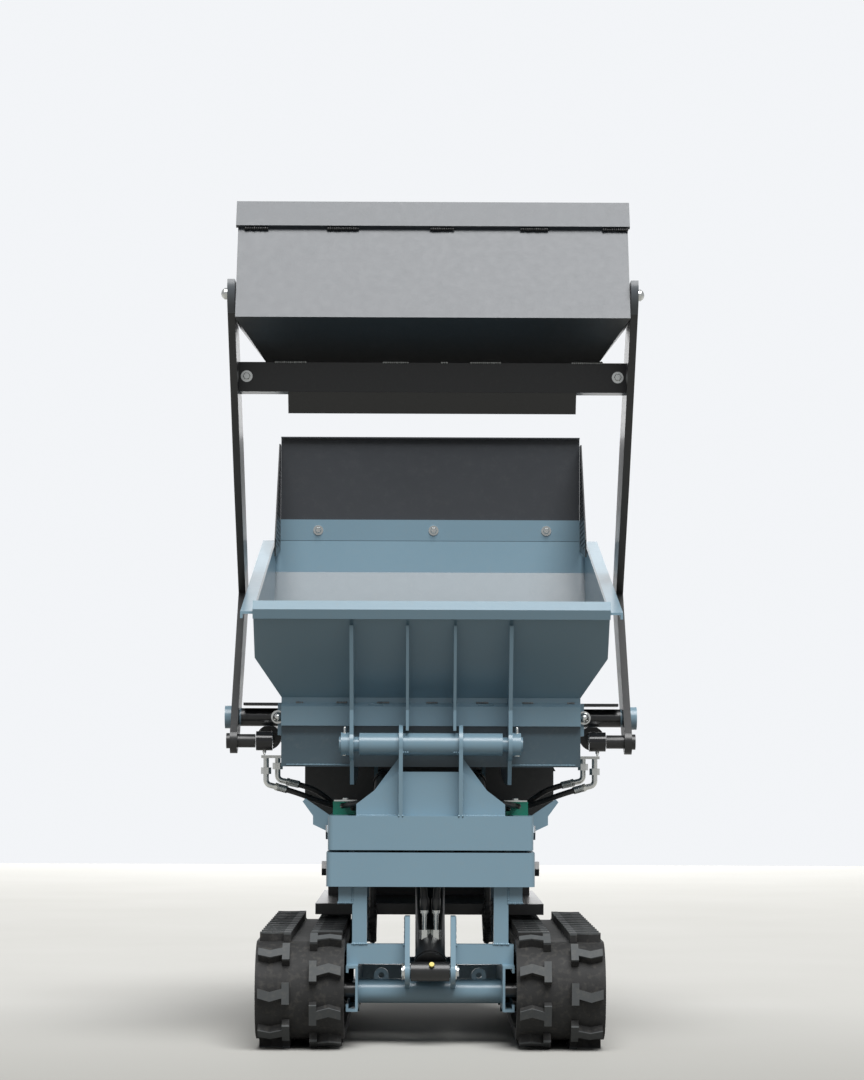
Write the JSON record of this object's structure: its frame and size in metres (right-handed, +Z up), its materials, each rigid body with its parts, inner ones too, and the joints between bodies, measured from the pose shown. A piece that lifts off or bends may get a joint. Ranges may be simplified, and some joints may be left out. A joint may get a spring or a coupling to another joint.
{
  "type": "tracked self-loading site dumper",
  "caption": "Rubber-tracked walk-behind site dumper with a scissor high-tip skip, a raised self-loading shovel and a rear engine and control console.",
  "frame": {"origin": "on the ground under the middle of the machine's overall box", "axes": "+Z up, the front of the machine towards -Y, +X to the right seen from the front"},
  "size_m": [0.864, 1.54, 1.7352],
  "materials": {
    "paint_blue_grey": "satin enamel",
    "paint_dark": "satin black enamel",
    "paint_grey": "mid grey enamel",
    "zinc": "bright zinc plate",
    "chrome_rod": "hard chrome",
    "track_rubber": "moulded rubber",
    "hose_rubber": "hose cover",
    "green_plastic": "polypropylene",
    "engine_casting": "cast aluminium",
    "black_plastic": "moulded plastic"
  },
  "bodies": {
    "chassis": {"track_left": "track_rubber", "track_right": "track_rubber", "idlers": "paint_dark", "sprockets": "paint_dark", "track_rollers": "paint_dark", "side_rails": "paint_blue_grey", "cross_tubes": "paint_blue_grey", "scissor_posts": "paint_blue_grey", "chassis_lugs": "paint_blue_grey", "scissor_base": "paint_blue_grey", "engine_deck": "paint_dark", "engine_block": "engine_casting", "engine_cowl": "paint_dark", "control_console": "paint_dark", "control_levers": "black_plastic", "handlebar": "paint_dark"},
    "engine_door": {"engine_door": "paint_dark"},
    "platform": {"operator_platform": "paint_dark"},
    "scissor_outer": {"scissor_outer_arms": "paint_blue_grey"},
    "scissor_inner": {"scissor_inner_arms": "paint_blue_grey"},
    "deck": {"deck_frame": "paint_blue_grey", "hinge_bracket": "paint_blue_grey", "deck_lugs": "paint_blue_grey", "hose_clamps": "green_plastic", "hose_ports": "zinc", "deck_hose_rod_left": "hose_rubber", "deck_hose_barrel_left": "hose_rubber", "skip_hose_rod_left": "hose_rubber", "skip_hose_barrel_left": "hose_rubber", "deck_hose_rod_right": "hose_rubber", "deck_hose_barrel_right": "hose_rubber", "skip_hose_rod_right": "hose_rubber", "skip_hose_barrel_right": "hose_rubber"},
    "skip": {"skip_tub": "paint_blue_grey", "skip_rim": "paint_blue_grey", "skip_trim": "paint_blue_grey", "guard_panel": "paint_dark", "guard_wings": "paint_dark", "skip_ribs": "paint_blue_grey", "hinge_pin": "zinc", "loader_shafts": "paint_blue_grey", "hose_fittings": "zinc"},
    "loader": {"loader_arms": "paint_dark", "loader_crossbar": "paint_dark", "shovel": "paint_grey", "shovel_blade": "paint_grey", "spout_plate": "paint_dark"},
    "lift_barrel": {"lift_cylinder": "paint_dark", "lift_fittings": "zinc", "lift_hose_left": "hose_rubber", "lift_hose_right": "hose_rubber"},
    "lift_rod": {"lift_rod": "chrome_rod"},
    "tip_barrel_left": {"tip_cylinder_left": "paint_blue_grey"},
    "tip_rod_left": {"tip_rod_left": "chrome_rod"},
    "loader_barrel_left": {"loader_cylinder_left": "paint_dark"},
    "loader_rod_left": {"loader_rod_left": "chrome_rod"},
    "tip_barrel_right": {"tip_cylinder_right": "paint_blue_grey"},
    "tip_rod_right": {"tip_rod_right": "chrome_rod"},
    "loader_barrel_right": {"loader_cylinder_right": "paint_dark"},
    "loader_rod_right": {"loader_rod_right": "chrome_rod"}
  },
  "joints": [
    {"name": "scissor_lift", "type": "hinge", "parent": "chassis", "child": "scissor_outer", "pos_m": [0, -0.505, 0.362], "axis": [1, 0, 0], "range_deg": [0, 42]},
    {"name": "scissor_cross", "type": "hinge", "parent": "scissor_outer", "child": "scissor_inner", "pos_m": [0, -0.12685, 0.3995], "axis": [1, 0, 0], "range_deg": [-84, 0]},
    {"name": "deck_level", "type": "hinge", "parent": "scissor_inner", "child": "deck", "pos_m": [0, -0.505, 0.437], "axis": [1, 0, 0], "range_deg": [0, 42]},
    {"name": "lift_swing", "type": "hinge", "parent": "chassis", "child": "lift_barrel", "pos_m": [0, -0.58, 0.154], "axis": [1, 0, 0], "range_deg": [0, 28.47], "deforming": ["lift_hose_left", "lift_hose_right"]},
    {"name": "lift_slide", "type": "slide", "parent": "lift_barrel", "child": "lift_rod", "axis": [0, 0.8574, 0.5146], "range_m": [0, 0.11614]},
    {"name": "skip_tip", "type": "hinge", "parent": "deck", "child": "skip", "pos_m": [0, -0.56, 0.62], "axis": [1, 0, 0], "range_deg": [0, 75], "deforming": ["skip_hose_rod_left", "skip_hose_barrel_left", "skip_hose_rod_right", "skip_hose_barrel_right"]},
    {"name": "loader_raise", "type": "hinge", "parent": "skip", "child": "loader", "pos_m": [0, -0.46, 0.676], "axis": [-1, 0, 0], "range_deg": [-117.5, 0]},
    {"name": "platform_fold", "type": "hinge", "parent": "chassis", "child": "platform", "pos_m": [0, 0.636, 0.25], "axis": [-1, 0, 0], "range_deg": [0, 88]},
    {"name": "engine_door_swing", "type": "hinge", "parent": "chassis", "child": "engine_door", "pos_m": [0.296, 0.58, 0.5], "axis": [0, 0, 1], "range_deg": [0, 110]},
    {"name": "tip_swing_left", "type": "hinge", "parent": "deck", "child": "tip_barrel_left", "pos_m": [-0.097, -0.485, 0.437], "axis": [1, 0, 0], "range_deg": [0, 66.76]},
    {"name": "tip_slide_left", "type": "slide", "parent": "tip_barrel_left", "child": "tip_rod_left", "axis": [0, 0.9795, 0.2015], "range_m": [0, 0.22279]},
    {"name": "loader_swing_left", "type": "hinge", "parent": "skip", "child": "loader_barrel_left", "pos_m": [-0.346, 0.07, 0.65], "axis": [1, 0, 0], "range_deg": [-0.766, 0]},
    {"name": "loader_slide_left", "type": "slide", "parent": "loader_barrel_left", "child": "loader_rod_left", "axis": [0, -0.9992, -0.04], "range_m": [-0.14562, 0]},
    {"name": "tip_swing_right", "type": "hinge", "parent": "deck", "child": "tip_barrel_right", "pos_m": [0.097, -0.485, 0.437], "axis": [1, 0, 0], "range_deg": [0, 66.76]},
    {"name": "tip_slide_right", "type": "slide", "parent": "tip_barrel_right", "child": "tip_rod_right", "axis": [0, 0.9795, 0.2015], "range_m": [0, 0.22279]},
    {"name": "loader_swing_right", "type": "hinge", "parent": "skip", "child": "loader_barrel_right", "pos_m": [0.346, 0.07, 0.65], "axis": [1, 0, 0], "range_deg": [-0.766, 0]},
    {"name": "loader_slide_right", "type": "slide", "parent": "loader_barrel_right", "child": "loader_rod_right", "axis": [0, -0.9992, -0.04], "range_m": [-0.14562, 0]}
  ],
  "couplings": [
    {"joint": "scissor_cross", "follows": "scissor_lift", "ratio": -2},
    {"joint": "deck_level", "follows": "scissor_lift", "ratio": 1},
    {"joint": "lift_swing", "follows": "scissor_lift", "ratio": 0.67774},
    {"joint": "lift_slide", "follows": "scissor_lift", "m_per_rad": 0.1583},
    {"joint": "tip_swing_left", "follows": "skip_tip", "ratio": 0.89015},
    {"joint": "tip_slide_left", "follows": "skip_tip", "m_per_rad": 0.17012},
    {"joint": "loader_swing_left", "follows": "loader_raise", "ratio": 0.00651},
    {"joint": "loader_slide_left", "follows": "loader_raise", "m_per_rad": 0.07096},
    {"joint": "tip_swing_right", "follows": "skip_tip", "ratio": 0.89015},
    {"joint": "tip_slide_right", "follows": "skip_tip", "m_per_rad": 0.17012},
    {"joint": "loader_swing_right", "follows": "loader_raise", "ratio": 0.00651},
    {"joint": "loader_slide_right", "follows": "loader_raise", "m_per_rad": 0.07096}
  ]
}
